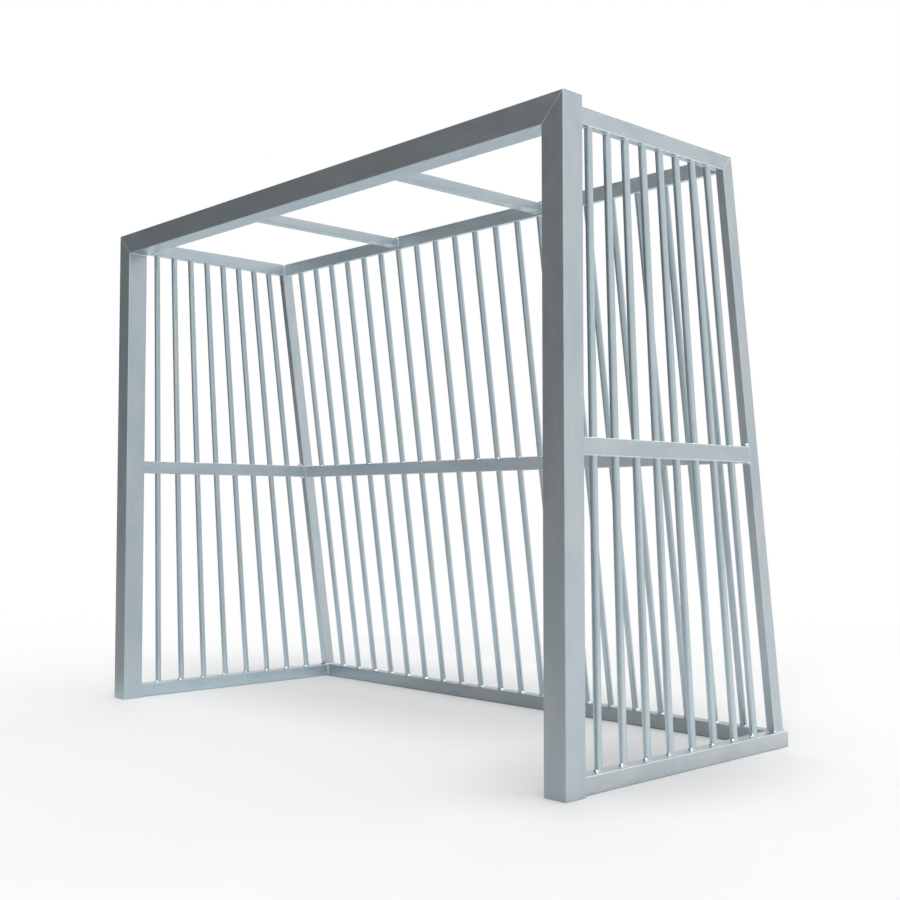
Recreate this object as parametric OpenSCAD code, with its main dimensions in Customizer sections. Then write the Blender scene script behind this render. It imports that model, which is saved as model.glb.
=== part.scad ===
/* [Front frame] */

// Overall width across the two front posts
width = 2440; // [2000:10:3000]
// Overall height of the front frame
height = 1890; // [1600:10:2200]
// Side of the square tube the posts and the crossbar are cut from
front_tube = 80; // [70:5:100]
// Wall of the front frame tube
front_wall = 3; // [2:0.5:5]
// Outer corner radius of the front frame tube
front_corner = 3; // [2:0.5:6]

/* [Depth] */

// Overall depth at the floor, front face of the posts to the rear end of the side bottom rails
depth = 1092; // [1000:2:1300]
// Floor-level distance from the front face to the rear face of the rear posts, measured on the sloping face carried down to the floor
rear_foot = 1089; // [980:1:1090]
// Distance from the front face to the rear face of the rear posts, at full height
rear_head = 820; // [700:5:950]

/* [Rails] */

// Height of every rail
rail_height = 50; // [40:5:60]
// Width of the top and middle rails and of the rear posts
rail_width = 30; // [25:5:40]
// Wall of the rail tube
rail_wall = 2; // [1.5:0.5:3]
// Outer corner radius of the rail tube
rail_corner = 3; // [2.5:0.5:6]
// Width of the three rails that lie on the floor
base_width = 50; // [40:5:60]
// Outer corner radius of the floor rails
base_corner = 3; // [2.5:0.5:6]
// Distance from the top of the crossbar down to the top of the top rails
top_drop = 17; // [12:1:25]
// Height of the middle of the middle rails above the floor
middle_level = 936.5; // [800:0.5:1000]

/* [Bars] */

// Diameter of the round bars
bar_diameter = 23; // [18:0.5:26]
// Wall of the round bars
bar_wall = 2; // [1.5:0.5:4]
// Number of bars across each side panel, counted along the depth
side_bars = 8; // [5:1:8]
// Gap between the front post and the middle of the first side bar, at the floor
side_gap_floor = 98; // [80:1:130]
// Gap between the front post and the middle of the first side bar, at full height
side_gap_head = 68; // [50:1:100]
// Number of bars across the rear panel
rear_bars = 20; // [12:1:20]
// Distance from the middle of a rear post to the middle of the first rear bar
rear_gap = 117; // [80:1:150]

/* [Roof] */

// Width of the two roof ties
tie_width = 50; // [40:5:60]
// Height of the two roof ties
tie_height = 30; // [20:5:40]
// Distance from the middle plane to the middle of each roof tie
tie_offset = 396; // [200:1:600]

/* [Welds] */

// Leg of the fillet welds along the rail ends
weld_leg = 3; // [2:0.5:4]
// How far a bar weld stands out beyond the bar
bar_weld = 2.5; // [1.5:0.5:3]

/* [Hidden] */

$fn = 48;
eps = 0.01;
big = 400;
steel = [0.62, 0.65, 0.68];
bead = [0.70, 0.72, 0.74];

// levels
top_hi = height - top_drop;
top_lo = top_hi - rail_height;
mid_hi = middle_level + rail_height / 2;
mid_lo = middle_level - rail_height / 2;
base_hi = rail_height;

// sideways positions: the side panels are centred on the front posts
panel_x = width / 2 - front_tube / 2;
panel_in = panel_x - rail_width / 2;
panel_out = panel_x + rail_width / 2;
base_in = panel_x - base_width / 2;
base_out = panel_x + base_width / 2;

// slope of the rear panel
lean = atan((rear_foot - rear_head) / height);
post_run = rail_height / cos(lean);
function rear_face(z) = rear_foot + (rear_head - rear_foot) * z / height;
function rear_mid(z) = rear_face(z) - post_run / 2;
function rear_front(z) = rear_face(z) - post_run;

// the roof ties are centred on the height of the top rails
tie_hi = top_hi - rail_height / 2 + tie_height / 2;
tie_lo = tie_hi - tie_height;

// mitre between a side top rail and a rear post
mitre_y = rear_front(top_lo);
mitre_angle = atan2(rail_height, rear_face(top_hi) - mitre_y);

// the middle and top rear rails lie in the sloping plane of the rear posts, square to it
top_level = (top_hi + top_lo) / 2;
rear_base_y = rear_mid(0);

// rear bars
rear_step = (2 * panel_x - 2 * rear_gap) / (rear_bars - 1);

// side bars, as a fan between the floor line and the head line
side_step_floor = (rear_front(0) - front_tube - 2 * side_gap_floor) / (side_bars - 1);
side_step_head = (rear_front(height) - front_tube - 2 * side_gap_head) / (side_bars - 1);
function side_y0(k) = front_tube + side_gap_floor + k * side_step_floor;
function side_y1(k) = front_tube + side_gap_head + k * side_step_head;

// ---------- shared shapes ----------

// the front face of the posts lies half the depth in front of the origin
module seat() translate([0, -depth / 2, 0]) children();

module flip(side) { if (side < 0) mirror([1, 0, 0]) children(); else children(); }

// rectangle with rounded corners, centred
module rounded(w, h, r) {
  square([w - 2 * r, h], center = true);
  square([w, h - 2 * r], center = true);
  for (x = [-1, 1]) for (y = [-1, 1])
    translate([x * (w / 2 - r), y * (h / 2 - r)]) circle(r = r);
}

// straight tube along Z from z = 0; a wall of "shut" closes the lower end; full leaves out the bore
module tube(w, h, t, r, len, shut = 0, full = false) {
  difference() {
    linear_extrude(height = len) rounded(w, h, r);
    if (!full)
      translate([0, 0, shut > 0 ? shut : -1])
        linear_extrude(height = len + 2) rounded(w - 2 * t, h - 2 * t, max(r - t, 0.5));
  }
}

// tube along Y, w across, h high
module tube_y(w, h, t, r, y0, y1, full = false)
  translate([0, y0, 0]) rotate([-90, 0, 0]) tube(w, h, t, r, y1 - y0, 0, full);

// tube along X, d front to back, h high
module tube_x(d, h, t, r, x0, x1, full = false)
  translate([x0, 0, 0]) rotate([0, 90, 0]) tube(h, d, t, r, x1 - x0, 0, full);

// ---------- front frame ----------

module post_body(full = false) {
  difference() {
    translate([width / 2 - front_tube / 2, front_tube / 2, 0])
      tube(front_tube, front_tube, front_wall, front_corner, height, 4, full);
    // 45 degree mitre, rising towards the outer corner
    translate([width / 2, -10, height]) rotate([0, 45, 0])
      translate([-big, 0, -big]) cube([big, front_tube + 20, 2 * big]);
  }
}

module crossbar_body(full = false) {
  difference() {
    translate([0, front_tube / 2, height - front_tube / 2])
      tube_x(front_tube, front_tube, front_wall, front_corner, -width / 2, width / 2, full);
    for (s = [1, -1]) flip(s)
      translate([width / 2, -10, height]) rotate([0, 45, 0])
        translate([0, 0, -big]) cube([big, front_tube + 20, 2 * big]);
  }
}

module left_post() color(steel) seat() flip(-1) post_body();
module right_post() color(steel) seat() post_body();
module crossbar() color(steel) seat() crossbar_body();

// ---------- side rails and rear posts (drawn for the right-hand side) ----------

module mitre_half(keep_rail)
  translate([0, mitre_y, top_lo]) rotate([mitre_angle, 0, 0])
    translate([panel_x - 50, -big, keep_rail ? -big : 0]) cube([100, 2 * big, big]);

module side_top_body(full = false) {
  difference() {
    translate([panel_x, 0, (top_hi + top_lo) / 2])
      tube_y(rail_width, rail_height, rail_wall, rail_corner, front_tube, rear_foot, full);
    mitre_half(true);
  }
}

module rear_post_body(full = false) {
  difference() {
    translate([panel_x, rear_mid(0), 0]) rotate([lean, 0, 0]) translate([0, 0, -20])
      tube(rail_width, rail_height, rail_wall, rail_corner, height + 100, 0, full);
    translate([panel_x - 50, 0, -big + base_hi]) cube([100, 2 * depth, big]);
    mitre_half(false);
  }
}

module side_middle_body(full = false) {
  difference() {
    translate([panel_x, 0, middle_level])
      tube_y(rail_width, rail_height, rail_wall, rail_corner, front_tube, rear_foot, full);
    translate([panel_x, rear_front(0), 0]) rotate([lean, 0, 0])
      translate([-50, 0, 0]) cube([100, big, 2 * height]);
  }
}

// the rear end of each side base rail is shut by a wall of its own
module side_base_body(full = false)
  translate([panel_x, depth, base_hi / 2]) rotate([90, 0, 0])
    tube(base_width, rail_height, rail_wall, base_corner, depth - front_tube, 3, full);

module left_side_top_rail() color(steel) seat() flip(-1) side_top_body();
module right_side_top_rail() color(steel) seat() side_top_body();
module left_side_middle_rail() color(steel) seat() flip(-1) side_middle_body();
module right_side_middle_rail() color(steel) seat() side_middle_body();
module left_side_base_rail() color(steel) seat() flip(-1) side_base_body();
module right_side_base_rail() color(steel) seat() side_base_body();
module left_rear_post() color(steel) seat() flip(-1) rear_post_body();
module right_rear_post() color(steel) seat() rear_post_body();

// ---------- rear rails ----------

// puts children in the sloping rear plane, with level z as their zero height
module rear_plane(z) translate([0, rear_mid(z), z]) rotate([lean, 0, 0]) children();

module rear_top_body(full = false)
  rear_plane(top_level) tube_x(rail_width, rail_height, rail_wall, rail_corner, -panel_in, panel_in, full);

module rear_middle_body(full = false)
  rear_plane(middle_level) tube_x(rail_width, rail_height, rail_wall, rail_corner, -panel_in, panel_in, full);

module rear_base_body(full = false)
  translate([0, rear_base_y, base_hi / 2])
    tube_x(base_width, rail_height, rail_wall, base_corner, -base_in, base_in, full);

module rear_top_rail() color(steel) seat() rear_top_body();
module rear_middle_rail() color(steel) seat() rear_middle_body();
module rear_base_rail() color(steel) seat() rear_base_body();

// ---------- roof ties ----------

// everything behind the front face of the rear top rail
module behind_rear_top()
  rear_plane(top_level) translate([-width / 2, -rail_width / 2, -300]) cube([width, 600, 600]);

module tie_body(x, full = false)
  difference() {
    translate([x, 0, (tie_hi + tie_lo) / 2])
      tube_y(tie_width, tie_height, rail_wall, rail_corner, front_tube, rear_face(top_lo), full);
    behind_rear_top();
  }

module left_roof_tie() color(steel) seat() tie_body(-tie_offset);
module right_roof_tie() color(steel) seat() tie_body(tie_offset);

// ---------- bars ----------

// places children at level z0 on the line from p0 on the floor to p1 at full height, +Z along it
module along(x, p0, p1, z0)
  translate([x, p0 + (p1 - p0) * z0 / height, z0])
    rotate([atan((p0 - p1) / height), 0, 0]) children();

// round tube on that line, cut level at z0 and z1
module bar(x, p0, p1, z0, z1)
  intersection() {
    along(x, p0, p1, z0) translate([0, 0, -20]) difference() {
      cylinder(d = bar_diameter, h = (z1 - z0) * 1.02 + 40);
      translate([0, 0, -1]) cylinder(d = bar_diameter - 2 * bar_wall, h = (z1 - z0) * 1.02 + 42);
    }
    translate([x - 50, -200, z0]) cube([100, 2 * depth, z1 - z0]);
  }

// ring of weld round a bar where it meets a rail at level z; up = 1 above the rail, -1 below it
module bar_ring(x, p0, p1, z, up)
  difference() {
    along(x, p0, p1, z) mirror([0, 0, up > 0 ? 0 : 1]) difference() {
      translate([0, 0, -3]) cylinder(r1 = bar_diameter / 2 + bar_weld * 1.75, r2 = bar_diameter / 2 + 0.4, h = 3 + 1.25 * bar_weld);
      translate([0, 0, -10]) cylinder(d = bar_diameter, h = 30);
    }
    translate([x - 50, -200, up > 0 ? z - 50 : z]) cube([100, 2 * depth, 50]);
  }

module side_bar_row(z0, z1)
  for (k = [0 : side_bars - 1]) bar(panel_x, side_y0(k), side_y1(k), z0, z1);

// rear bars run square to the rear rails; only their feet on the base rail are cut level
function rear_x(k) = -panel_x + rear_gap + k * rear_step;
rear_up_len = (top_level - middle_level) / cos(lean) - rail_height;
rear_low_len = (middle_level - base_hi) / cos(lean) - rail_height / 2;

module round_tube(len) difference() {
  cylinder(d = bar_diameter, h = len);
  translate([0, 0, -1]) cylinder(d = bar_diameter - 2 * bar_wall, h = len + 2);
}

module rear_upper_row()
  for (k = [0 : rear_bars - 1])
    rear_plane(middle_level) translate([rear_x(k), 0, rail_height / 2]) round_tube(rear_up_len);

module rear_lower_row()
  for (k = [0 : rear_bars - 1]) difference() {
    rear_plane(base_hi) translate([rear_x(k), 0, -20]) round_tube(rear_low_len + 20);
    translate([rear_x(k) - 50, 0, base_hi - 60]) cube([100, 2 * depth, 60]);
  }

module left_upper_bars() color(steel) seat() flip(-1) side_bar_row(mid_hi, top_lo);
module left_lower_bars() color(steel) seat() flip(-1) side_bar_row(base_hi, mid_lo);
module right_upper_bars() color(steel) seat() side_bar_row(mid_hi, top_lo);
module right_lower_bars() color(steel) seat() side_bar_row(base_hi, mid_lo);
module rear_upper_bars() color(steel) seat() rear_upper_row();
module rear_lower_bars() color(steel) seat() rear_lower_row();

// ---------- welds ----------

bar_ends = [[base_hi, 1], [mid_lo, -1], [mid_hi, 1], [top_lo, -1]];

module side_rings()
  for (k = [0 : side_bars - 1]) for (e = bar_ends)
    bar_ring(panel_x, side_y0(k), side_y1(k), e[0], e[1]);

// ring round a bar that stands square to its rail
module square_ring() difference() {
  cylinder(r1 = bar_diameter / 2 + bar_weld, r2 = bar_diameter / 2 + 0.4, h = 1.25 * bar_weld);
  translate([0, 0, -1]) cylinder(d = bar_diameter, h = 20);
}

module rear_rings()
  for (k = [0 : rear_bars - 1]) {
    bar_ring(rear_x(k), rear_mid(0), rear_mid(height), base_hi, 1);
    for (s = [-1, 1]) rear_plane(middle_level) translate([rear_x(k), 0, s * rail_height / 2])
      mirror([0, 0, s > 0 ? 0 : 1]) square_ring();
    rear_plane(top_level) translate([rear_x(k), 0, -rail_height / 2]) mirror([0, 0, 1]) square_ring();
  }

module left_bar_welds() color(bead) seat() flip(-1) side_rings();
module right_bar_welds() color(bead) seat() side_rings();
module rear_bar_welds() color(bead) seat() rear_rings();

// fillets along X, Y and Z: three-cornered prisms whose square corner runs along the joint line;
// the signs give the sides the two legs lie on
module fillet_x(x0, x1, y, z, sy, sz) translate([x0, y, z]) rotate([90, 0, 90])
  linear_extrude(height = x1 - x0) polygon([[0, 0], [sy * weld_leg, 0], [0, sz * weld_leg]]);
module fillet_y(x, y0, y1, z, sx, sz) translate([x, y1, z]) rotate([90, 0, 0])
  linear_extrude(height = y1 - y0) polygon([[0, 0], [sx * weld_leg, 0], [0, sz * weld_leg]]);
module fillet_z(x, y, z0, z1, sx, sy) translate([x, y, z0])
  linear_extrude(height = z1 - z0) polygon([[0, 0], [sx * weld_leg, 0], [0, sy * weld_leg]]);

// fillet along X in the corner between a level face and a face that leans with the rear panel
module fillet_lean(x0, x1, y, z, sy, sz) translate([x0, y, z]) rotate([90, 0, 90])
  linear_extrude(height = x1 - x0)
    polygon([[0, 0], [sy * weld_leg, 0], [-sz * weld_leg * sin(lean), sz * weld_leg * cos(lean)]]);

// inside corner of each front mitre
module front_mitre_weld()
  fillet_y(width / 2 - front_tube, front_corner + 2, front_tube - front_corner - 2, height - front_tube, -1, -1);

// fillets round the end of a tube that butts against the plane y = front_tube from behind
module front_end_fillets(x, w, z0, z1, r, below, above) {
  for (s = [-1, 1]) fillet_z(x + s * w / 2, front_tube, z0 + r, z1 - r, s, 1);
  if (below) fillet_x(x - w / 2 + r, x + w / 2 - r, front_tube, z0, 1, -1);
  if (above) fillet_x(x - w / 2 + r, x + w / 2 - r, front_tube, z1, 1, 1);
}

// where a side middle rail meets the sloping rear post: low beads on the flush sides, fillets above and below
module rail_rear_weld() {
  for (s = [-1, 1]) translate([panel_x + s * rail_width / 2, rear_front(mid_lo), mid_lo]) rotate([lean, 0, 0])
    translate([0, 0, rail_corner / cos(lean)]) linear_extrude(height = (rail_height - 2 * rail_corner) / cos(lean))
      polygon([[0, -weld_leg / 2], [0, weld_leg / 2], [s * weld_leg / 2, 0]]);
  fillet_lean(panel_in + rail_corner, panel_out - rail_corner, rear_front(mid_hi), mid_hi, -1, 1);
  fillet_lean(panel_in + rail_corner, panel_out - rail_corner, rear_front(mid_lo), mid_lo, -1, -1);
}

// fillets round the foot of a rear post, on the top of the side base rail
module foot_weld() {
  fillet_lean(panel_in + rail_corner, panel_out - rail_corner, rear_front(base_hi), base_hi, -1, 1);
  fillet_lean(panel_in + rail_corner, panel_out - rail_corner, rear_face(base_hi), base_hi, 1, 1);
  for (s = [-1, 1]) fillet_y(panel_x + s * rail_width / 2, rear_front(base_hi) + rail_corner,
    rear_face(base_hi) - rail_corner, base_hi, s, 1);
}

module side_welds() {
  front_end_fillets(panel_x, rail_width, top_lo, top_hi, rail_corner, true, true);
  front_end_fillets(panel_x, rail_width, mid_lo, mid_hi, rail_corner, true, true);
  front_end_fillets(panel_x, base_width, 0, base_hi, base_corner, false, true);
  rail_rear_weld();
  foot_weld();
}

// fillets round the end of a rear rail at x; the middle of the rail is on the X axis, d front to back, h high
module end_fillets(x, d, h, r, below, above) {
  for (s = [-1, 1]) fillet_z(x, s * d / 2, -h / 2 + r, h / 2 - r, -1, s);
  if (below) fillet_y(x, -d / 2 + r, d / 2 - r, -h / 2, -1, -1);
  if (above) fillet_y(x, -d / 2 + r, d / 2 - r, h / 2, -1, 1);
}

module rear_welds() {
  rear_plane(top_level) end_fillets(panel_in, rail_width, rail_height, rail_corner, true, false);
  rear_plane(middle_level) end_fillets(panel_in, rail_width, rail_height, rail_corner, true, true);
  translate([0, rear_base_y, base_hi / 2]) end_fillets(base_in, base_width, rail_height, base_corner, false, false);
}

// fillets at both ends of a roof tie: on the crossbar, and on the sloping face of the rear top rail
function rear_top_front(z) = rear_mid(top_level) - rail_width / 2 / cos(lean) - (z - top_level) * tan(lean);
module tie_weld(x) {
  front_end_fillets(x, tie_width, tie_lo, tie_hi, rail_corner, true, true);
  for (s = [-1, 1]) translate([0, rear_top_front(tie_lo), tie_lo]) rotate([lean, 0, 0])
    fillet_z(x + s * tie_width / 2, 0, rail_corner, tie_height / cos(lean) - rail_corner, s, -1);
  fillet_lean(x - tie_width / 2 + rail_corner, x + tie_width / 2 - rail_corner, rear_top_front(tie_hi), tie_hi, -1, 1);
  fillet_lean(x - tie_width / 2 + rail_corner, x + tie_width / 2 - rail_corner, rear_top_front(tie_lo), tie_lo, -1, -1);
}

module front_frame_welds() color(bead) seat() for (s = [1, -1]) flip(s) front_mitre_weld();
module left_frame_welds() color(bead) seat() flip(-1) side_welds();
module right_frame_welds() color(bead) seat() side_welds();
module rear_frame_welds() color(bead) seat() for (s = [1, -1]) flip(s) rear_welds();
module roof_tie_welds() color(bead) seat() for (x = [-tie_offset, tie_offset]) tie_weld(x);

left_post();
right_post();
crossbar();
left_side_top_rail();
right_side_top_rail();
left_side_middle_rail();
right_side_middle_rail();
left_side_base_rail();
right_side_base_rail();
left_rear_post();
right_rear_post();
rear_top_rail();
rear_middle_rail();
rear_base_rail();
left_roof_tie();
right_roof_tie();
left_upper_bars();
left_lower_bars();
right_upper_bars();
right_lower_bars();
rear_upper_bars();
rear_lower_bars();
left_bar_welds();
right_bar_welds();
rear_bar_welds();
front_frame_welds();
left_frame_welds();
right_frame_welds();
rear_frame_welds();
roof_tie_welds();
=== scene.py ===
import bpy, math, random
from mathutils import Matrix, Vector


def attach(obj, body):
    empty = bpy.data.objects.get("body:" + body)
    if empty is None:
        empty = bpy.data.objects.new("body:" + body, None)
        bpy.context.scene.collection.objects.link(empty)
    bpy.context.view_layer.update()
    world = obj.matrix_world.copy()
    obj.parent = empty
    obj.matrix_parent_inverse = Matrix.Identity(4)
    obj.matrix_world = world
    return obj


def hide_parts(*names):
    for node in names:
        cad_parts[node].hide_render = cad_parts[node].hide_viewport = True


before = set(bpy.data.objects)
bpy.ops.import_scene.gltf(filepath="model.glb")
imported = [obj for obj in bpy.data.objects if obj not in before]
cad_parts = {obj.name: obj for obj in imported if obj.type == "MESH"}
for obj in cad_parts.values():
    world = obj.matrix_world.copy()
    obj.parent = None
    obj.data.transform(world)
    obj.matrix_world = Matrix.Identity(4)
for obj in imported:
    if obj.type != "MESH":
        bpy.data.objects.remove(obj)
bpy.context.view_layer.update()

scene = bpy.context.scene
coll = scene.collection
random.seed(7)

# ------------------------------------------------------------------ sizes, as in the part's source (mm)
WIDTH, HEIGHT, TUBE, DEPTH = 2440.0, 1890.0, 80.0, 1092.0
FOOT, HEAD = 1089.0, 820.0
RAIL_H, RAIL_W, BASE_W, RAD = 50.0, 30.0, 50.0, 3.0
TOP_HI = HEIGHT - 17.0
TOP_LO = TOP_HI - RAIL_H
TOP_LEVEL = (TOP_HI + TOP_LO) / 2
MID = 936.5
MID_HI, MID_LO = MID + RAIL_H / 2, MID - RAIL_H / 2
BASE_HI = RAIL_H
PX = WIDTH / 2 - TUBE / 2
PIN, POUT = PX - RAIL_W / 2, PX + RAIL_W / 2
BIN = PX - BASE_W / 2
LEAN = math.atan((FOOT - HEAD) / HEIGHT)
RUN = RAIL_H / math.cos(LEAN)
Y0 = -DEPTH / 2
BAR_R = 11.5
TIE_W, TIE_H, TIE_X = 50.0, 30.0, 396.0
TIE_HI, TIE_LO = TOP_LEVEL + TIE_H / 2, TOP_LEVEL - TIE_H / 2


def rear_face(z):
    return FOOT + (HEAD - FOOT) * z / HEIGHT


def rear_mid(z):
    return rear_face(z) - RUN / 2


def rear_front(z):
    return rear_face(z) - RUN


PANEL = Vector((0, -math.sin(LEAN), math.cos(LEAN)))      # up along the sloping rear panel
PANEL_N = Vector((0, math.cos(LEAN), math.sin(LEAN)))     # out of its back
X, Y, Z = Vector((1, 0, 0)), Vector((0, 1, 0)), Vector((0, 0, 1))


def P(x, y, z):
    """A point in millimetres in the part's own layout, brought to the row frame."""
    return Vector((x, y + Y0, z))


# ------------------------------------------------------------------ weld beads as meshes
class Soup:
    def __init__(self):
        self.v, self.f = [], []

    def add(self, rings, closed):
        """Skin a list of closed rings of points; caps the ends when the path is open."""
        base, n, m = len(self.v), len(rings), len(rings[0])
        for r in rings:
            self.v.extend(tuple(c * 0.001 for c in p) for p in r)
        for i in range(n if closed else n - 1):
            a, b = base + i * m, base + ((i + 1) % n) * m
            for j in range(m):
                k = (j + 1) % m
                self.f.append((a + j, a + k, b + k, b + j))
        if not closed:
            self.f.append(tuple(base + j for j in range(m))[::-1])
            self.f.append(tuple(base + (n - 1) * m + j for j in range(m)))

    def build(self, name, material, slot, *nodes):
        me = bpy.data.meshes.new(name)
        me.from_pydata(self.v, [], self.f)
        me.validate()
        import bmesh
        bm = bmesh.new()
        bm.from_mesh(me)
        bmesh.ops.recalc_face_normals(bm, faces=bm.faces)
        bm.to_mesh(me)
        bm.free()
        for p in me.polygons:
            p.use_smooth = True
        ob = bpy.data.objects.new(name, me)
        coll.objects.link(ob)
        me.materials.append(material)
        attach(ob, "root")
        if nodes:
            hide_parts(*nodes)
        return ob


def wobble(length, pitch, rnd):
    """Ripple of a hand-laid bead: scalloped pitch plus a slow uneven swell."""
    ph, ph2, ph3 = rnd.random() * 6.28, rnd.random() * 6.28, rnd.random() * 6.28
    n = max(3, round(length / pitch))

    def f(s):
        t = s / length
        scallop = abs(math.sin(math.pi * n * t + ph))
        return 0.87 + 0.20 * scallop + 0.07 * math.sin(2 * math.pi * t * 2 + ph2) + 0.05 * math.sin(2 * math.pi * t * 5 + ph3)
    return f


def bead(soup, pts, outs, axis, closed, w, h, rnd, pitch=2.6, arc=6, swell=None, ripple=1.0, crown=0.20):
    """Fillet bead along pts: one leg along outs (on the base surface), the other along axis (up the tube).
    swell is a list of factors, one for each point, where the bead is thicker in places."""
    seg = [(pts[(i + 1) % len(pts)] - pts[i]).length for i in range(len(pts))]
    total = sum(seg) if closed else sum(seg[:-1])
    f = wobble(total, pitch, rnd)
    s, rings = 0.0, []
    for i, p in enumerate(pts):
        g = 0.97 + ripple * (f(s) - 0.97)
        if not closed:
            e = min(s, total - s)
            g *= min(1.0, 0.35 + 0.65 * math.sqrt(max(e, 0.0) / 4.0)) if e < 4.0 else 1.0
        if swell:
            g *= swell[i]
        o = outs[i]
        ring = [p + o * (w * g) - axis * 0.4]
        for j in range(arc):
            t = j / (arc - 1)
            k = crown * math.sin(math.pi * t)      # a nearly flat face with a slight crown
            ring.append(p + o * (w * g * (1 - t + k)) + axis * (h * g * (t + k)))
        ring.append(p - o * 0.7 + axis * (h * g))
        ring.append(p - o * 0.7 - axis * 0.4)
        rings.append(ring)
        s += seg[i]
    soup.add(rings, closed)


def circle_path(c, n, r, steps=36):
    e1 = X.copy() if abs(n.x) < 0.9 else Y.copy()
    e1 = (e1 - n * e1.dot(n)).normalized()
    e2 = n.cross(e1)
    pts, outs = [], []
    for i in range(steps):
        a = 2 * math.pi * i / steps
        o = e1 * math.cos(a) + e2 * math.sin(a)
        pts.append(c + o * r)
        outs.append(o)
    return pts, outs


def rect_path(c, u, v, du, dv, r, sides="full", step=0.9):
    """Rounded rectangle du x dv round c in the plane of u and v. sides: full, or the run that leaves one side open."""
    hu, hv = du / 2 - r, dv / 2 - r
    raw = []

    def line(a, b, o):
        d = math.dist(a, b)
        n = max(1, int(d / step))
        for i in range(n):
            t = i / n
            raw.append(((a[0] + (b[0] - a[0]) * t, a[1] + (b[1] - a[1]) * t), o))

    def corner(cu, cv, a0):
        for i in range(5):
            a = math.radians(a0 + 90 * i / 5)
            raw.append(((cu + r * math.cos(a), cv + r * math.sin(a)), (math.cos(a), math.sin(a))))
    # starts at the lower end of the +u side and goes round: +u, +v, -u, -v
    line((du / 2, -hv), (du / 2, hv), (1, 0))
    corner(hu, hv, 0)
    line((hu, dv / 2), (-hu, dv / 2), (0, 1))
    corner(-hu, hv, 90)
    line((-du / 2, hv), (-du / 2, -hv), (-1, 0))
    n_open = len(raw)
    raw_end = ((-du / 2, -hv), (-1, 0))
    corner(-hu, -hv, 180)
    line((-hu, -dv / 2), (hu, -dv / 2), (0, -1))
    corner(hu, -hv, 270)
    if sides != "full":          # leaves out the -v side and its corners
        raw = raw[:n_open] + [raw_end]
    pts = [c + u * a[0] + v * a[1] for a, o in raw]
    outs = [(u * o[0] + v * o[1]).normalized() for a, o in raw]
    return pts, outs


def flat_seam(soup, p0, p1, n, w, h, rnd, step=1.2):
    """Low seam on a flush joint from p0 to p1; n is the surface normal."""
    d = p1 - p0
    length = d.length
    t = d.normalized()
    s = n.cross(t).normalized()
    k = max(4, int(length / step))
    f = wobble(length, 3.0, rnd)
    rings = []
    for i in range(k + 1):
        q = length * i / k
        g = 0.8 + 0.25 * (f(q) - 0.87)
        p = p0 + t * q
        ring = [p - s * (w / 2) * g - n * 0.5]
        for j in range(5):
            a = math.pi * j / 4
            ring.append(p - s * (w / 2 * g * math.cos(a)) + n * (h * g * math.sin(a)))
        ring.append(p + s * (w / 2) * g - n * 0.5)
        rings.append(ring)
    soup.add(rings, False)


def drop(soup, c, r):
    """Rounded blob where a bead was stopped, centre c, half sizes r along X, Y and Z."""
    rings = []
    for j in range(13):
        a = math.pi * (j / 12 - 0.5) * 0.98
        rings.append([c + Vector((r[0] * math.cos(a) * math.cos(b), r[1] * math.cos(a) * math.sin(b), r[2] * math.sin(a)))
                      for b in [2 * math.pi * i / 20 for i in range(20)]])
    soup.add(rings, False)


def mirrored(p):
    return Vector((-p.x, p.y, p.z))


# ------------------------------------------------------------------ materials
def new_mat(name):
    m = bpy.data.materials.new(name)
    m.use_nodes = True
    return m, m.node_tree, m.node_tree.nodes["Principled BSDF"]


def node(nt, kind, **props):
    n = nt.nodes.new(kind)
    for k, v in props.items():
        setattr(n, k, v)
    return n


def math_node(nt, op, a=None, b=None, c=None, clamp=False):
    n = nt.nodes.new("ShaderNodeMath")
    n.operation = op
    n.use_clamp = clamp
    for i, q in enumerate((a, b, c)):
        if q is None:
            continue
        if isinstance(q, (int, float)):
            n.inputs[i].default_value = q
        else:
            nt.links.new(q, n.inputs[i])
    return n.outputs[0]


def noise(nt, vec, scale, detail=3.0, rough=0.5, distort=0.0):
    n = nt.nodes.new("ShaderNodeTexNoise")
    n.inputs["Scale"].default_value = scale
    n.inputs["Detail"].default_value = detail
    n.inputs["Roughness"].default_value = rough
    n.inputs["Distortion"].default_value = distort
    nt.links.new(vec, n.inputs["Vector"])
    return n.outputs["Fac"]


def mapped(nt, vec, scale):
    n = nt.nodes.new("ShaderNodeMapping")
    n.inputs["Scale"].default_value = scale
    nt.links.new(vec, n.inputs["Vector"])
    return n.outputs["Vector"]


def ramp(nt, fac, stops, interp="EASE"):
    n = nt.nodes.new("ShaderNodeValToRGB")
    cr = n.color_ramp
    cr.interpolation = interp
    while len(cr.elements) < len(stops):
        cr.elements.new(0.5)
    for e, (pos, col) in zip(cr.elements, stops):
        e.position = pos
        e.color = (*col, 1) if len(col) == 3 else col
    nt.links.new(fac, n.inputs["Fac"])
    return n.outputs["Color"]


def mix_rgb(nt, kind, fac, a, b):
    n = nt.nodes.new("ShaderNodeMix")
    n.data_type = "RGBA"
    n.blend_type = kind
    if isinstance(fac, (int, float)):
        n.inputs[0].default_value = fac
    else:
        nt.links.new(fac, n.inputs[0])
    for i, q in ((6, a), (7, b)):
        if isinstance(q, tuple):
            n.inputs[i].default_value = (*q, 1)
        else:
            nt.links.new(q, n.inputs[i])
    return n.outputs[2]


ZINC = (0.500, 0.556, 0.589)


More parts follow.
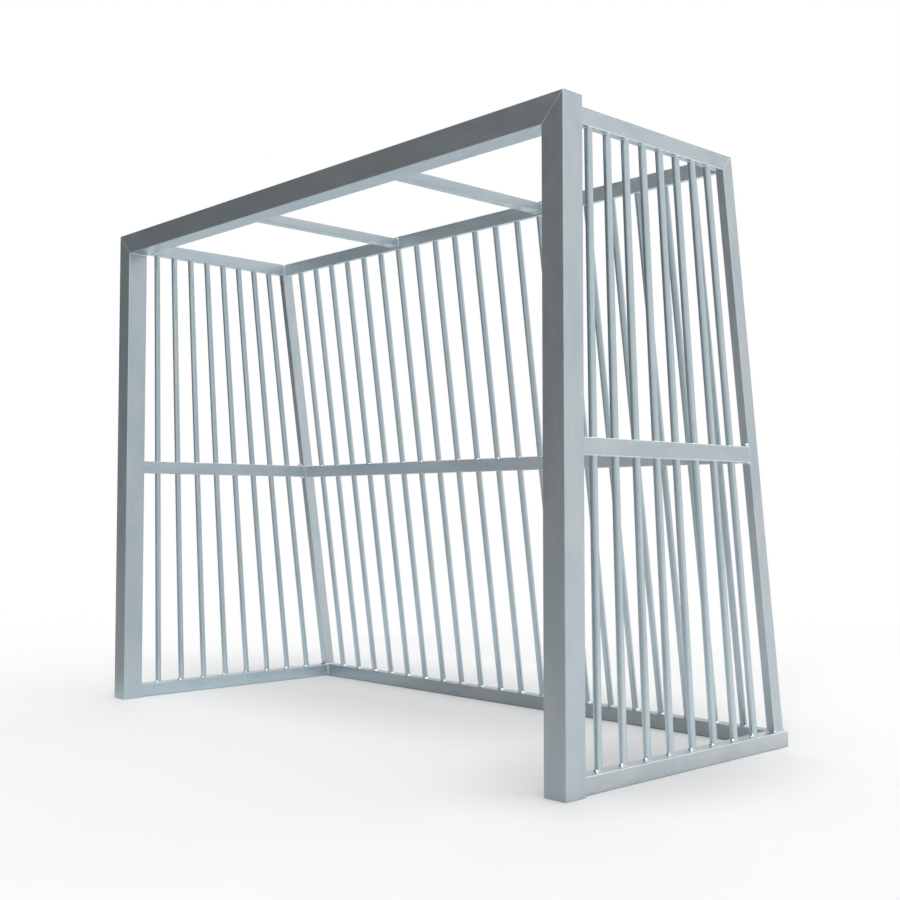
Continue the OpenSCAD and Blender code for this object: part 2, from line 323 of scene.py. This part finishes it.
def galvanised(name, run, tone=1.0, rough=0.40, seed=0.0, cloud=0.10, base=ZINC, relief=0.35, fine=1.0, edge=0.0):
    """Hot-dip galvanised steel. run is the tube's direction, for the drawn-out streaks.
    edge is how much painted highlight the zinc gets along the tube's rounded corners, where its colour is made
    brighter."""
    m, nt, bs = new_mat(name)
    tc = nt.nodes.new("ShaderNodeTexCoord").outputs["Object"]
    shift = nt.nodes.new("ShaderNodeVectorMath")
    shift.operation = "ADD"
    shift.inputs[1].default_value = (seed * 3.1, seed * 1.7, seed * 2.3)
    nt.links.new(tc, shift.inputs[0])
    vec = shift.outputs[0]
    stretch = {"x": (0.10, 1, 1), "y": (1, 0.10, 1), "z": (1, 1, 0.10)}[run]
    soft = {"x": (0.45, 1, 1), "y": (1, 0.45, 1), "z": (1, 1, 0.45)}[run]
    # clouds of lighter and duller zinc, 40 to 150 mm across
    cloud_n = noise(nt, mapped(nt, vec, soft), 9.0, 5.0, 0.55, 0.6)
    cloud_s = noise(nt, mapped(nt, vec, soft), 34.0, 4.0, 0.6, 0.3)
    streak = noise(nt, mapped(nt, vec, stretch), 55.0, 3.0, 0.5)
    grain = noise(nt, vec, 420.0, 2.0, 0.5)
    vor = nt.nodes.new("ShaderNodeTexVoronoi")
    vor.inputs["Scale"].default_value = 105.0
    nt.links.new(vec, vor.inputs["Vector"])
    bw = nt.nodes.new("ShaderNodeRGBToBW")
    nt.links.new(vor.outputs["Color"], bw.inputs[0])
    spangle = bw.outputs[0]
    a = math_node(nt, "MULTIPLY_ADD", math_node(nt, "SUBTRACT", cloud_n, 0.5), cloud * 2.2, 1.0)
    a = math_node(nt, "MULTIPLY_ADD", math_node(nt, "SUBTRACT", cloud_s, 0.5), cloud * 1.1, a)
    a = math_node(nt, "MULTIPLY_ADD", math_node(nt, "SUBTRACT", streak, 0.5), 0.10, a)
    a = math_node(nt, "MULTIPLY_ADD", math_node(nt, "SUBTRACT", grain, 0.5), 0.10 * fine, a)
    a = math_node(nt, "MULTIPLY_ADD", math_node(nt, "SUBTRACT", spangle, 0.5), 0.05 * fine, a)
    edge_highlight = None
    # painted highlight: the colour is made brighter where the object-space normal leaves the flat faces, on the
    # rounded corners
    if edge > 0:
        ns = nt.nodes.new("ShaderNodeSeparateXYZ")
        nt.links.new(nt.nodes.new("ShaderNodeTexCoord").outputs["Normal"], ns.inputs[0])
        q = [math_node(nt, "ABSOLUTE", ns.outputs[i]) for i in range(3)]
        flat = math_node(nt, "MAXIMUM", math_node(nt, "MAXIMUM", q[0], q[1]), q[2])
        mr = nt.nodes.new("ShaderNodeMapRange")
        mr.interpolation_type = "SMOOTHSTEP"
        mr.inputs["From Min"].default_value = 0.965
        mr.inputs["From Max"].default_value = 0.80
        nt.links.new(flat, mr.inputs["Value"])
        edge_highlight = mr.outputs[0]
        a = math_node(nt, "MULTIPLY_ADD", edge_highlight, edge, a)
    # the tint drifts a little between bluish and neutral grey
    tint = ramp(nt, cloud_n, [(0.30, tuple(tone * c for c in (base[0] * 0.965, base[1] * 0.985, base[2]))),
                              (0.70, tuple(tone * c for c in (base[0] * 1.03, base[1] * 1.01, base[2])))])
    comb = nt.nodes.new("ShaderNodeCombineXYZ")
    for i in range(3):
        nt.links.new(a, comb.inputs[i])
    col = mix_rgb(nt, "MULTIPLY", 1.0, tint, comb.outputs[0])
    nt.links.new(col, bs.inputs["Base Color"])
    bs.inputs["Metallic"].default_value = 1.0
    r = math_node(nt, "MULTIPLY_ADD", math_node(nt, "SUBTRACT", cloud_s, 0.5), 0.22 * fine, rough)
    r = math_node(nt, "MULTIPLY_ADD", math_node(nt, "SUBTRACT", spangle, 0.5), 0.08 * fine, r)
    r = math_node(nt, "MULTIPLY_ADD", math_node(nt, "SUBTRACT", grain, 0.5), 0.10 * fine, r, clamp=True)
    nt.links.new(r, bs.inputs["Roughness"])
    # relief: fine zinc texture, and the slow unevenness of a dipped coat
    hsum = math_node(nt, "MULTIPLY_ADD", grain, 0.35, math_node(nt, "MULTIPLY", spangle, 0.10))
    hsum = math_node(nt, "MULTIPLY_ADD", cloud_s, 1.2, hsum)
    bump = nt.nodes.new("ShaderNodeBump")
    bump.inputs["Strength"].default_value = relief
    bump.inputs["Distance"].default_value = 0.0006
    nt.links.new(hsum, bump.inputs["Height"])
    nt.links.new(bump.outputs[0], bs.inputs["Normal"])
    return m


def weld_metal(name):
    m, nt, bs = new_mat(name)
    tc = nt.nodes.new("ShaderNodeTexCoord").outputs["Object"]
    n1 = noise(nt, tc, 160.0, 4.0, 0.6, 0.4)
    n2 = noise(nt, tc, 900.0, 2.0, 0.5)
    col = ramp(nt, n1, [(0.25, (0.60, 0.65, 0.69)), (0.75, (0.80, 0.84, 0.87))])
    nt.links.new(col, bs.inputs["Base Color"])
    bs.inputs["Metallic"].default_value = 1.0
    r = math_node(nt, "MULTIPLY_ADD", n1, 0.16, 0.10)
    nt.links.new(r, bs.inputs["Roughness"])
    bump = nt.nodes.new("ShaderNodeBump")
    bump.inputs["Strength"].default_value = 0.25
    bump.inputs["Distance"].default_value = 0.0003
    nt.links.new(math_node(nt, "MULTIPLY_ADD", n2, 0.5, n1), bump.inputs["Height"])
    nt.links.new(bump.outputs[0], bs.inputs["Normal"])
    return m


M_WELD = weld_metal("zinc_weld_bead")
# edge= below sets each material's painted highlight along its rounded corners
M_POST = galvanised("zinc_front_upright", "z", 1.0, 0.42, 0.0, 0.055, relief=0.16, fine=0.55, edge=0.06)
M_XBAR = galvanised("zinc_front_level", "x", 0.99, 0.42, 1.0, 0.05, relief=0.14, fine=0.50, edge=0.06)
M_SIDE = galvanised("zinc_side_rail", "y", 1.0, 0.40, 2.0, 0.11, fine=1.3, edge=0.80)
# painted light: the side rail zinc made lighter and warmer for the right base rail
M_SIDE_B_PAINTED_LIGHTER = galvanised("zinc_side_base_rail_painted_lighter", "y", 1.04, 0.40, 5.0, 0.11, base=(0.512, 0.556, 0.578), edge=0.44)
# painted light: the side rail zinc made lighter for the left side rails, with less painted edge highlight
M_SIDE_L_PAINTED_LIGHTER = galvanised("zinc_side_rail_left_painted_lighter", "y", 1.06, 0.40, 8.0, 0.11, fine=1.7, edge=0.10)
# painted light: the upright's zinc made lighter for the left post
M_POST_L_PAINTED_LIGHTER = galvanised("zinc_front_upright_left_painted_lighter", "z", 1.06, 0.42, 9.0, 0.055, relief=0.16, fine=0.55, edge=0.06)
M_REARP = galvanised("zinc_rear_post", "z", 1.0, 0.40, 3.0, 0.11, edge=0.15)
# painted light: the rear rails' zinc made lighter
M_REAR_PAINTED_LIGHTER = galvanised("zinc_rear_rail_painted_lighter", "x", 1.25, 0.40, 4.0, 0.11)
# painted shade: the rear base rail's zinc made darker
M_BASE_PAINTED_DARKER = galvanised("zinc_rear_base_rail_painted_darker", "x", 0.835, 0.42, 7.0, 0.07)
M_TIE = galvanised("zinc_roof_tie", "y", 1.0, 0.40, 5.0, 0.085, fine=1.7)
M_BAR = galvanised("zinc_round_bar", "z", 1.09, 0.30, 6.0, 0.06, (0.482, 0.556, 0.590), 0.08, 0.40)

for name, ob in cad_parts.items():
    if name in ("left_post", "right_post"):
        mat = M_POST if name == "right_post" else M_POST_L_PAINTED_LIGHTER
    elif name == "crossbar":
        mat = M_XBAR
    elif "roof_tie" in name:
        mat = M_TIE
    elif name.endswith("bars"):
        mat = M_BAR
    elif name.endswith("welds"):
        mat = M_WELD
    elif "side" in name:
        mat = M_SIDE if name.startswith("right") else M_SIDE_L_PAINTED_LIGHTER
        if name == "right_side_base_rail":
            mat = M_SIDE_B_PAINTED_LIGHTER
    elif name.endswith("rear_post"):
        mat = M_REARP
    elif name == "rear_base_rail":
        mat = M_BASE_PAINTED_DARKER
    else:
        mat = M_REAR_PAINTED_LIGHTER
    ob.data.materials.clear()
    ob.data.materials.append(mat)
    if name.endswith("welds"):
        continue
    me = ob.data
    for p in me.polygons:
        p.use_smooth = True
    me.set_sharp_from_angle(angle=math.radians(32))
    wn = ob.modifiers.new("even", "WEIGHTED_NORMAL")
    wn.keep_sharp = True

# ------------------------------------------------------------------ weld pieces
def corner_swell(pts, corners, low, high, reach):
    """Factor for each point: high at the corners, where the runs of weld meet, low between them."""
    return [low + (high - low) * max(math.exp(-((p - q).length / reach) ** 2) for q in corners) for p in pts]



def side_bar_ends():
    s0 = (rear_front(0) - TUBE - 2 * 98) / 7
    s1 = (rear_front(HEIGHT) - TUBE - 2 * 68) / 7
    for k in range(8):
        a = P(PX, TUBE + 98 + k * s0, 0)
        b = P(PX, TUBE + 68 + k * s1, HEIGHT)
        d = (b - a).normalized()
        for z, up in ((BASE_HI, 1), (MID_LO, -1), (MID_HI, 1), (TOP_LO, -1)):
            yield a + (b - a) * (z / HEIGHT), d * up, Z * up


def rear_bar_ends():
    step = (2 * PX - 2 * 117) / 19
    for k in range(20):
        x = -PX + 117 + k * step
        yield P(x, rear_mid(BASE_HI), BASE_HI), PANEL, Z
        m = P(x, rear_mid(MID), MID)
        yield m - PANEL * RAIL_H / 2, -PANEL, -PANEL
        yield m + PANEL * RAIL_H / 2, PANEL, PANEL
        t = P(x, rear_mid(TOP_LEVEL), TOP_LEVEL)
        yield t - PANEL * RAIL_H / 2, -PANEL, -PANEL


def ring(soup, c, axis, n, rnd, along, foot):
    """Weld round a bar's end: thin on the narrow sides of the rail, thick on the two sides that face along it."""
    pts, outs = circle_path(c, n, BAR_R - 0.15, 48)
    w, h = (4.7, 7.8) if foot else (2.3, 2.5) if c.z > 1700 else (1.3, 1.3)        # the beads at the feet are the largest
    low = 0.15 if foot else 0.60
    swell = [low + (1 - low) * abs(o.dot(along)) ** 2.2 for o in outs]
    bead(soup, pts, outs, axis, True, w * rnd.uniform(0.97, 1.03), h * rnd.uniform(0.97, 1.03), rnd, 3.4, 6, swell, 0.22, 0.08)


for side, tag in ((1, "right"), (-1, "left")):
    soup, rnd = Soup(), random.Random(11 + side)
    for c, ax, n in side_bar_ends():
        if side < 0:
            c = mirrored(c)
        ring(soup, c, ax, n, rnd, Y, c.z < BASE_HI + 1)
    soup.build(tag + "_bar_beads", M_WELD, "weld_bead", tag + "_bar_welds")

soup, rnd = Soup(), random.Random(23)
for c, ax, n in rear_bar_ends():
    ring(soup, c, ax, n, rnd, X, c.z < BASE_HI + 1)
soup.build("rear_bar_beads", M_WELD, "weld_bead", "rear_bar_welds")

LEG = 3.4

for side, tag in ((1, "right"), (-1, "left")):
    soup, rnd = Soup(), random.Random(31 + side)
    px = PX * side
    # front ends of the three side rails, on the rear face of the post
    for w, zc, kind in ((RAIL_W, TOP_LEVEL, "full"), (RAIL_W, MID, "full"), (BASE_W, BASE_HI / 2, "open")):
        pts, outs = rect_path(P(px, TUBE, zc), X, Z, w, RAIL_H, RAD, kind)
        bead(soup, pts, outs, Y, kind == "full", LEG, LEG, rnd)
    # foot of the rear post on the base rail
    c = P(px, rear_mid(BASE_HI), BASE_HI)
    pts, outs = rect_path(c, X, Y, RAIL_W, RUN, RAD, "full")
    tips = [c + X * a * RAIL_W / 2 + Y * b * RUN / 2 for a in (-1, 1) for b in (-1, 1)]
    bead(soup, pts, outs, PANEL, True, 5.0, 6.0, rnd, swell=corner_swell(pts, tips, 0.45, 1.0, 7.0))
    # rear end of the middle rail on the rear post: fillets above and below, low beads on the flush sides
    for z, up in ((MID_HI, 1), (MID_LO, -1)):
        a = P(px - RAIL_W / 2 + 1.5, rear_front(z), z)
        b = P(px + RAIL_W / 2 - 1.5, rear_front(z), z)
        n = 30
        pts = [a + (b - a) * (i / n) for i in range(n + 1)]
        bead(soup, pts, [-Y] * (n + 1), PANEL * up, False, 8.5, 8.5, rnd, swell=corner_swell(pts, (b if side > 0 else a,), 0.42, 1.12, 9.0), ripple=0.5)
        q = 8.8 if up > 0 else 5.0
        drop(soup, P(px + side * (RAIL_W / 2 - q * 0.68), rear_front(z) - q * 0.42, z + up * q * 0.36), (q, q, q))
    for s in (-1, 1):
        x = px + s * RAIL_W / 2
        flat_seam(soup, P(x, rear_front(MID_LO + 2), MID_LO + 2), P(x, rear_front(MID_HI - 2), MID_HI - 2), X * s, 4.2, 1.0, rnd)
        # mitre between the top rail and the rear post
        flat_seam(soup, P(x, rear_front(TOP_LO) + 3, TOP_LO + 2), P(x, rear_face(TOP_HI) - 4, TOP_HI - 2), X * s, 2.8, 0.35, rnd)
    soup.build(tag + "_frame_beads", M_WELD, "weld_bead", tag + "_frame_welds")

soup, rnd = Soup(), random.Random(47)
for s in (-1, 1):
    x = s * PIN
    # rear top rail: front, underside and back; rear middle rail: all round; both on the inner face of the rear post
    c = P(x, rear_mid(TOP_LEVEL), TOP_LEVEL)
    pts, outs = rect_path(c, PANEL_N, -PANEL, RAIL_W, RAIL_H, RAD, "open")
    bead(soup, pts, outs, -X * s, False, LEG, LEG, rnd)
    c = P(x, rear_mid(MID), MID)
    pts, outs = rect_path(c, PANEL_N, PANEL, RAIL_W, RAIL_H, RAD, "full")
    bead(soup, pts, outs, -X * s, True, LEG, LEG, rnd)
    # rear base rail: front and back, and a low seam on the flush top
    xb = s * BIN
    yb = rear_mid(0)
    for d in (-1, 1):
        a = P(xb, yb + d * BASE_W / 2, 3)
        b = P(xb, yb + d * BASE_W / 2, BASE_HI - 3)
        n = 50
        pts = [a + (b - a) * (i / n) for i in range(n + 1)]
        bead(soup, pts, [Y * d] * (n + 1), -X * s, False, LEG if d < 0 else 2.3, LEG, rnd)
    flat_seam(soup, P(xb, yb - BASE_W / 2 + 3, BASE_HI), P(xb, yb + BASE_W / 2 - 3, BASE_HI), Z, 4.0, 0.9, rnd)
soup.build("rear_frame_beads", M_WELD, "weld_bead", "rear_frame_welds")

soup, rnd = Soup(), random.Random(59)
for s in (-1, 1):
    x = s * TIE_X
    pts, outs = rect_path(P(x, TUBE, TOP_LEVEL), X, Z, TIE_W, TIE_H, RAD, "full")
    bead(soup, pts, outs, Y, True, LEG, LEG, rnd)
    c = P(x, rear_mid(TOP_LEVEL), TOP_LEVEL) - PANEL_N * RAIL_W / 2 + PANEL * (RAIL_W / 2 * math.tan(LEAN))
    pts, outs = rect_path(c, X, PANEL, TIE_W, TIE_H / math.cos(LEAN), RAD, "full")
    bead(soup, pts, outs, -Y, True, LEG, LEG, rnd)
soup.build("roof_tie_beads", M_WELD, "weld_bead", "roof_tie_welds")

soup, rnd = Soup(), random.Random(61)
for s in (-1, 1):
    a = P(s * (WIDTH / 2 - TUBE), 4, HEIGHT - TUBE)
    b = P(s * (WIDTH / 2 - TUBE), TUBE - 4, HEIGHT - TUBE)
    n = 80
    pts = [a + (b - a) * (i / n) for i in range(n + 1)]
    bead(soup, pts, [-X * s] * (n + 1), -Z, False, LEG, LEG, rnd)
    for y, ny in ((0, -Y), (TUBE, Y)):
        flat_seam(soup, P(s * (WIDTH / 2 - TUBE + 1.5), y, HEIGHT - TUBE + 1.5), P(s * (WIDTH / 2 - 3), y, HEIGHT - 3), ny, 3.2, 0.6, rnd)
soup.build("front_frame_beads", M_WELD, "weld_bead", "front_frame_welds")

# ------------------------------------------------------------------ camera
yaw, pitch = math.radians(46.9150), math.radians(-2.7713)
back = Vector((math.sin(yaw) * math.cos(pitch), -math.cos(yaw) * math.cos(pitch), math.sin(pitch)))
right = Z.cross(back).normalized()
up = back.cross(right)
mat = Matrix((right, up, back)).transposed().to_4x4()
mat.translation = Vector((3.3570, -2.4127 - 0.546, 0.7648))
cam = bpy.data.cameras.new("view")
cam_ob = bpy.data.objects.new("view", cam)
coll.objects.link(cam_ob)
cam_ob.matrix_world = mat
cam.sensor_width = 36.0
cam.lens = 36.0 * 1217.7 / 900.0
cam.clip_start, cam.clip_end = 0.05, 200.0
scene.camera = cam_ob

# ------------------------------------------------------------------ floor and backdrop
def stage_mesh(name, verts, faces, material):
    me = bpy.data.meshes.new(name)
    me.from_pydata(verts, [], faces)
    ob = bpy.data.objects.new(name, me)
    coll.objects.link(ob)
    me.materials.append(material)
    return ob


def glow(name, colour, strength):
    m = bpy.data.materials.new(name)
    m.use_nodes = True
    nt = m.node_tree
    nt.nodes.clear()
    em = nt.nodes.new("ShaderNodeEmission")
    em.inputs["Color"].default_value = (*colour, 1)
    em.inputs["Strength"].default_value = strength
    out = nt.nodes.new("ShaderNodeOutputMaterial")
    nt.links.new(em.outputs[0], out.inputs[0])
    return m


def painted_reflection_material(name, stops, direction, lo, hi, strips):
    """Matt sheet seen only in reflections, painted with reflected light and shade: its grey follows the distance along
    a level direction, with patches of painted reflection, lighter and darker. A patch is a list of soft edges, (axis,
    where it starts, where it is full), and a grey."""
    m = bpy.data.materials.new(name)
    m.use_nodes = True
    nt = m.node_tree
    nt.nodes.clear()
    tc = nt.nodes.new("ShaderNodeTexCoord").outputs["Object"]
    d = nt.nodes.new("ShaderNodeVectorMath")
    d.operation = "DOT_PRODUCT"
    d.inputs[1].default_value = direction
    nt.links.new(tc, d.inputs[0])
    mr = nt.nodes.new("ShaderNodeMapRange")
    mr.inputs["From Min"].default_value = lo
    mr.inputs["From Max"].default_value = hi
    nt.links.new(d.outputs["Value"], mr.inputs["Value"])
    col = ramp(nt, mr.outputs[0], stops, "LINEAR")
    sep = nt.nodes.new("ShaderNodeSeparateXYZ")
    nt.links.new(tc, sep.inputs[0])

    def step(value, a, b):
        q = nt.nodes.new("ShaderNodeMapRange")
        q.interpolation_type = "SMOOTHSTEP"
        q.inputs["From Min"].default_value = min(a, b)
        q.inputs["From Max"].default_value = max(a, b)
        if a > b:
            q.inputs["To Min"].default_value, q.inputs["To Max"].default_value = 1.0, 0.0
        nt.links.new(value, q.inputs["Value"])
        return q.outputs[0]
    for edges, grey in strips:
        f = None
        for axis, a, b in edges:
            g = step(sep.outputs[axis], a, b)
            f = g if f is None else math_node(nt, "MULTIPLY", f, g)
        col = mix_rgb(nt, "MIX", f, col, grey)
    df = nt.nodes.new("ShaderNodeBsdfDiffuse")
    nt.links.new(col, df.inputs["Color"])
    out = nt.nodes.new("ShaderNodeOutputMaterial")
    nt.links.new(df.outputs[0], out.inputs[0])
    return m


def floor_material():
    """Matt pale floor round the object, with painted shade in two ovals near the goal, that fades into white further
    out.
    """
    m = bpy.data.materials.new("studio_floor")
    m.use_nodes = True
    nt = m.node_tree
    nt.nodes.clear()
    tc = nt.nodes.new("ShaderNodeTexCoord").outputs["Object"]
    length = nt.nodes.new("ShaderNodeVectorMath")
    length.operation = "LENGTH"
    nt.links.new(tc, length.inputs[0])
    fade = nt.nodes.new("ShaderNodeMapRange")
    fade.interpolation_type = "SMOOTHSTEP"
    fade.inputs["From Min"].default_value = 1.8
    fade.inputs["From Max"].default_value = 5.4
    nt.links.new(length.outputs["Value"], fade.inputs["Value"])
    df = nt.nodes.new("ShaderNodeBsdfDiffuse")

    def patch(centre, scale, lo, hi, inner, outer):
        """Painted shade: grey that runs from inner to outer across an oval."""
        mp = nt.nodes.new("ShaderNodeMapping")
        mp.inputs["Location"].default_value = (-centre[0] * scale[0], -centre[1] * scale[1], 0.0)
        mp.inputs["Scale"].default_value = (scale[0], scale[1], 1.0)
        nt.links.new(tc, mp.inputs["Vector"])
        ln = nt.nodes.new("ShaderNodeVectorMath")
        ln.operation = "LENGTH"
        nt.links.new(mp.outputs["Vector"], ln.inputs[0])
        mr = nt.nodes.new("ShaderNodeMapRange")
        mr.interpolation_type = "SMOOTHSTEP"
        mr.inputs["From Min"].default_value = lo
        mr.inputs["From Max"].default_value = hi
        mr.inputs["To Min"].default_value = inner
        mr.inputs["To Max"].default_value = outer
        nt.links.new(ln.outputs["Value"], mr.inputs["Value"])
        return mr.outputs[0]
    # painted shade on the floor: darker inside the goal and under the right side panel
    grey = math_node(nt, "MULTIPLY", patch((-0.50, 0.46), (0.50, 1.12), 0.28, 1.12, 0.685, 0.825),
                     patch((1.10, -0.10), (1.7, 1.25), 0.15, 0.95, 0.80, 1.0))
    comb = nt.nodes.new("ShaderNodeCombineXYZ")
    for i in range(3):
        nt.links.new(grey, comb.inputs[i])
    nt.links.new(comb.outputs[0], df.inputs["Color"])
    em = nt.nodes.new("ShaderNodeEmission")
    em.inputs["Color"].default_value = (1, 1, 1, 1)
    em.inputs["Strength"].default_value = 1.0
    mx = nt.nodes.new("ShaderNodeMixShader")
    nt.links.new(fade.outputs[0], mx.inputs[0])
    nt.links.new(df.outputs[0], mx.inputs[1])
    nt.links.new(em.outputs[0], mx.inputs[2])
    out = nt.nodes.new("ShaderNodeOutputMaterial")
    nt.links.new(mx.outputs[0], out.inputs[0])
    return m


def disc(radius, z):
    return [(radius * math.cos(2 * math.pi * i / 96), radius * math.sin(2 * math.pi * i / 96), z) for i in range(96)]


floor = stage_mesh("studio_floor", disc(5.5, -0.0005), [tuple(range(96))], floor_material())
floor.visible_glossy = False
# what the metal mirrors in place of the floor: a sheet seen only in reflections, painted darker towards the front left
# and with lighter patches, as painted reflections of light and shade
reflection_sheet = stage_mesh("studio_painted_reflection_sheet", disc(22.0, -0.0003), [tuple(range(96))],
                   painted_reflection_material("studio_painted_reflection", [(0.0, (0.90,) * 3), (0.05, (0.80,) * 3), (0.10, (0.56,) * 3), (0.20, (0.50,) * 3), (0.245, (0.62,) * 3),
                                                   (0.29, (0.60,) * 3), (0.34, (0.46,) * 3), (0.45, (0.46,) * 3), (0.62, (0.50,) * 3), (1.0, (0.50,) * 3)],
                                  (-0.25, -0.97, 0.0), -1.5, 6.5,
                                  [([("X", -1.30, -1.10), ("X", 1.20, 1.12), ("Y", -0.56, -0.42), ("Y", 0.20, 0.02)], (0.76, 0.80, 0.82)),
                                   ([("X", -0.55, -1.05), ("Y", -0.75, -0.45)], (0.82, 0.88, 0.90)),
                                   ([("X", -1.25, -1.80), ("Y", -0.45, -0.80)], (0.34, 0.35, 0.355)),
                                   ([("X", 1.10, 1.36), ("Y", -0.95, -0.55)], (0.84, 0.84, 0.845))]))
reflection_sheet.visible_camera = reflection_sheet.visible_diffuse = reflection_sheet.visible_transmission = reflection_sheet.visible_shadow = False

M_WHITE = glow("studio_white", (1, 1, 1), 1.0)
far = stage_mesh("studio_floor_far", [(-90, -90, -0.004), (90, -90, -0.004), (90, 90, -0.004), (-90, 90, -0.004)], [(0, 1, 2, 3)], M_WHITE)
n = 48
dome_v, dome_f = [], []
for i in range(n):
    a = 2 * math.pi * i / n
    dome_v += [(80 * math.cos(a), 80 * math.sin(a), -1.0), (80 * math.cos(a), 80 * math.sin(a), 60.0)]
for i in range(n):
    j = (i + 1) % n
    dome_f.append((2 * i, 2 * j, 2 * j + 1, 2 * i + 1))
dome_f.append(tuple(2 * i + 1 for i in range(n)))
dome = stage_mesh("studio_backdrop", dome_v, dome_f, M_WHITE)
for ob in (far, dome):      # only seen directly, so the soft light from all round is not blocked
    ob.visible_diffuse = ob.visible_glossy = ob.visible_transmission = ob.visible_shadow = False

# ------------------------------------------------------------------ light: a soft surround, duller on the front left, and soft lamps
world = bpy.data.worlds.new("studio")
world.use_nodes = True
scene.world = world
nt = world.node_tree
nt.nodes.clear()
gen = nt.nodes.new("ShaderNodeTexCoord").outputs["Generated"]
sep = nt.nodes.new("ShaderNodeSeparateXYZ")
nt.links.new(gen, sep.inputs[0])
turn = math_node(nt, "ARCTAN2", sep.outputs["Y"], sep.outputs["X"])
SKY = [(-180, 0.160), (-114, 0.162), (-100, 0.44), (-88, 0.68), (-70, 0.80), (-50, 0.83), (0, 0.81),
       (20, 0.84), (55, 0.85), (100, 0.83), (132, 0.83), (148, 0.78), (160, 0.60), (172, 0.24), (180, 0.160)]      # degrees from +X, grey
col = ramp(nt, math_node(nt, "MULTIPLY_ADD", turn, 0.5 / math.pi, 0.5),
           [((a + 180) / 360, (g, g, g * 0.995)) for a, g in SKY], "LINEAR")
high = nt.nodes.new("ShaderNodeMapRange")
high.interpolation_type = "SMOOTHSTEP"
high.inputs["From Min"].default_value = 0.55
high.inputs["From Max"].default_value = 0.92
nt.links.new(sep.outputs["Z"], high.inputs["Value"])
col = mix_rgb(nt, "MIX", high.outputs[0], col, (0.62, 0.62, 0.62))
# a broad lighter window on the right
win = nt.nodes.new("ShaderNodeVectorMath")
win.operation = "DOT_PRODUCT"
win.inputs[1].default_value = Vector((0.967, 0.241, 0.087)).normalized()
nt.links.new(gen, win.inputs[0])
pane = nt.nodes.new("ShaderNodeMapRange")
pane.interpolation_type = "SMOOTHSTEP"
pane.inputs["From Min"].default_value = 0.800
pane.inputs["From Max"].default_value = 0.990
nt.links.new(win.outputs["Value"], pane.inputs["Value"])
col = mix_rgb(nt, "ADD", pane.outputs[0], col, (0.045, 0.09, 0.115))
# a soft box high at the back, which only the rounded edges and the beads pick up
box = nt.nodes.new("ShaderNodeVectorMath")
box.operation = "DOT_PRODUCT"
box.inputs[1].default_value = Vector((0.02, 0.84, 0.54)).normalized()
nt.links.new(gen, box.inputs[0])
pane = nt.nodes.new("ShaderNodeMapRange")
pane.interpolation_type = "SMOOTHSTEP"
pane.inputs["From Min"].default_value = 0.860
pane.inputs["From Max"].default_value = 0.970
nt.links.new(box.outputs["Value"], pane.inputs["Value"])
col = mix_rgb(nt, "ADD", pane.outputs[0], col, (0.34, 0.345, 0.35))
rise = nt.nodes.new("ShaderNodeMapRange")
rise.interpolation_type = "SMOOTHSTEP"
rise.inputs["From Min"].default_value = 0.25
rise.inputs["From Max"].default_value = 0.95
rise.inputs["To Min"].default_value = 1.0
rise.inputs["To Max"].default_value = 1.45
nt.links.new(sep.outputs["Z"], rise.inputs["Value"])
bg = nt.nodes.new("ShaderNodeBackground")
nt.links.new(rise.outputs[0], bg.inputs["Strength"])
nt.links.new(col, bg.inputs["Color"])
out = nt.nodes.new("ShaderNodeOutputWorld")
nt.links.new(bg.outputs[0], out.inputs[0])


def sun(name, direction, energy, angle, colour=(1, 1, 1)):
    l = bpy.data.lights.new(name, "SUN")
    l.energy = energy
    l.angle = math.radians(angle)
    l.color = colour
    ob = bpy.data.objects.new(name, l)
    coll.objects.link(ob)
    ob.rotation_euler = Vector(direction).normalized().to_track_quat("Z", "Y").to_euler()
    return ob


sun("front_right", (0.36, -0.74, 0.60), 0.25, 3.5)
sun("key", (0.366, -0.211, 0.906), 2.2, 9.0).visible_diffuse = False      # glints only, no shadow on the floor
sun("fill", (0.0, 0.0, 1.0), 0.95, 70.0).visible_glossy = False            # evens out the floor, not mirrored

scene.view_settings.view_transform = "Standard"
